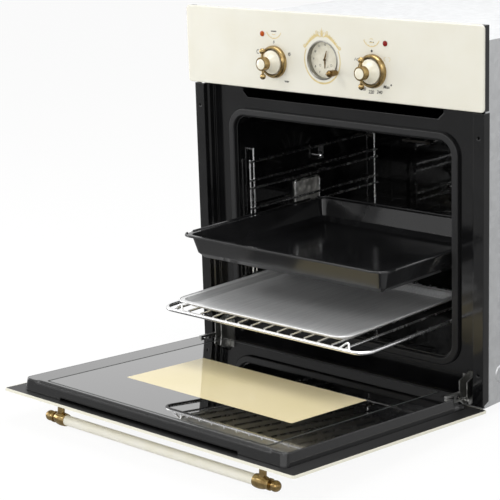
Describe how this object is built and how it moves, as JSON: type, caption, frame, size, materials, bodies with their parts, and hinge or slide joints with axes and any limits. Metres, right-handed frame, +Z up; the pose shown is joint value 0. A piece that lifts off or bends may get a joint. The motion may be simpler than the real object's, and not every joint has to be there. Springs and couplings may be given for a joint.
{
  "type": "built-in gas oven",
  "caption": "Built-in gas oven in ivory with antique-brass knobs and bar handle: drop-down glass door, deep tray, wire rack with a baking sheet, fan and clock.",
  "frame": {"origin": "On the niche floor, in the plane of the cabinet's front, midway across.", "axes": "+X to the viewer's right, +Y to the back, +Z up. The door opens towards -Y."},
  "size_m": [0.596, 1.0286, 0.6013],
  "materials": {
    "ivory_enamel": "gloss ivory enamel on steel",
    "ivory_bakelite": "ivory moulded plastic, gloss",
    "handle_tube": "ivory enamelled tube",
    "antique_brass": "antique brass, rubbed",
    "gilt": "gilt brass",
    "bezel_grey": "satin grey ring",
    "dial_paper": "matt cream dial",
    "lamp_plastic": "tinted lens, amber left and red right",
    "black_plastic": "black moulded plastic",
    "galvanised_steel": "bright galvanised sheet",
    "black_enamel": "gloss black vitreous enamel",
    "grey_enamel": "speckled dark oven enamel",
    "chromed_wire": "bright chrome plate",
    "aluminium_sheet": "satin aluminium",
    "zinc_steel": "zinc plated steel",
    "stainless_tube": "heat-dulled stainless steel",
    "yellow_brass": "plain machined brass",
    "white_ceramic": "white porcelain",
    "seal_rubber": "black silicone",
    "glass_wool": "mineral wool",
    "door_glass": "toughened glass, ivory print on the back",
    "inner_glass": "heat-reflecting glass with a black printed border",
    "lamp_lens": "pressed clear glass"
  },
  "bodies": {
    "oven_body": {"control_panel": "ivory_enamel", "knob_rings": "antique_brass", "clock_bezel": "bezel_grey", "clock_dial": "dial_paper", "indicator_lamps": "lamp_plastic", "panel_caps": "black_plastic", "function_switch": "black_plastic", "terminal_box": "black_plastic", "clock_movement": "black_plastic", "base_pan": "galvanised_steel", "side_panel_left": "galvanised_steel", "side_panel_right": "galvanised_steel", "top_cover": "galvanised_steel", "back_panel": "galvanised_steel", "panel_chassis": "galvanised_steel", "lamp_holder": "galvanised_steel", "fan_motor": "galvanised_steel", "front_frame": "black_enamel", "side_trim_left": "black_enamel", "side_trim_right": "black_enamel", "cavity_shell": "grey_enamel", "cavity_back": "grey_enamel", "burner_cover": "grey_enamel", "fan_cover": "grey_enamel", "vent_duct": "grey_enamel", "side_racks": "chromed_wire", "rack_screws": "chromed_wire", "hinge_brackets": "zinc_steel", "hinge_pins": "zinc_steel", "gas_burner": "stainless_tube", "grill_element": "stainless_tube", "thermostat_bulb": "stainless_tube", "flame_thermocouple": "stainless_tube", "burner_pipe": "stainless_tube", "gas_inlet": "stainless_tube", "gas_valve": "yellow_brass", "burner_injector": "yellow_brass", "igniter_electrode": "white_ceramic", "door_seal": "seal_rubber", "insulation_wrap": "glass_wool", "lamp_glass": "lamp_lens"},
    "door": {"door_outer_glass": "door_glass", "door_pan": "black_enamel", "door_inner_glass": "inner_glass", "handle_bar": "handle_tube", "handle_brackets": "antique_brass", "hinge_arms": "zinc_steel"},
    "tray": {"deep_tray": "black_enamel"},
    "rack": {"wire_rack": "chromed_wire", "baking_sheet": "aluminium_sheet"},
    "function_control": {"switch_spindle": "zinc_steel", "function_knob": "ivory_bakelite", "function_knob_crossbar": "antique_brass"},
    "gas_spindle": {"valve_spindle": "zinc_steel"},
    "gas_control": {"gas_knob": "ivory_bakelite", "gas_knob_crossbar": "antique_brass"},
    "clock_setter": {"clock_setting_knob": "antique_brass"},
    "minute_pointer": {"minute_hand": "gilt"},
    "hour_pointer": {"hour_hand": "gilt"},
    "fan": {"fan_rotor": "aluminium_sheet"}
  },
  "joints": [
    {"name": "door_hinge", "type": "hinge", "parent": "oven_body", "child": "door", "pos_m": [0, -0.012, 0.015], "axis": [-1, 0, 0], "range_deg": [0, 85.7]},
    {"name": "tray_slide", "type": "slide", "parent": "oven_body", "child": "tray", "axis": [0, 1, 0], "range_m": [0, 0.187]},
    {"name": "rack_slide", "type": "slide", "parent": "oven_body", "child": "rack", "axis": [0, 1, 0], "range_m": [0, 0.23]},
    {"name": "function_knob_turn", "type": "hinge", "parent": "oven_body", "child": "function_control", "pos_m": [-0.10455, -0.024, 0.509], "axis": [0, 1, 0], "range_deg": [0, 270]},
    {"name": "gas_knob_turn", "type": "hinge", "parent": "oven_body", "child": "gas_spindle", "pos_m": [0.09495, -0.024, 0.509], "axis": [0, -1, 0], "range_deg": [0, 225]},
    {"name": "gas_knob_push", "type": "slide", "parent": "gas_spindle", "child": "gas_control", "axis": [0, 1, 0], "range_m": [0, 0.004], "stiffness_N_per_m": 800},
    {"name": "clock_set_turn", "type": "hinge", "parent": "oven_body", "child": "clock_setter", "pos_m": [0.02421, -0.024, 0.50155], "axis": [0, 1, 0], "continuous": true},
    {"name": "minute_hand_turn", "type": "hinge", "parent": "oven_body", "child": "minute_pointer", "pos_m": [-0.0048, -0.024, 0.5183], "axis": [0, 1, 0], "continuous": true},
    {"name": "hour_hand_turn", "type": "hinge", "parent": "oven_body", "child": "hour_pointer", "pos_m": [-0.0048, -0.024, 0.5183], "axis": [0, 1, 0], "continuous": true},
    {"name": "fan_spin", "type": "hinge", "parent": "oven_body", "child": "fan", "pos_m": [0, 0.44, 0.233], "axis": [0, 1, 0], "continuous": true}
  ],
  "couplings": [
    {"joint": "tray_slide", "follows": "door_hinge", "m_per_rad": 0.12502},
    {"joint": "rack_slide", "follows": "door_hinge", "m_per_rad": 0.15377},
    {"joint": "minute_hand_turn", "follows": "clock_set_turn", "ratio": 1},
    {"joint": "hour_hand_turn", "follows": "clock_set_turn", "ratio": 0.083333}
  ]
}
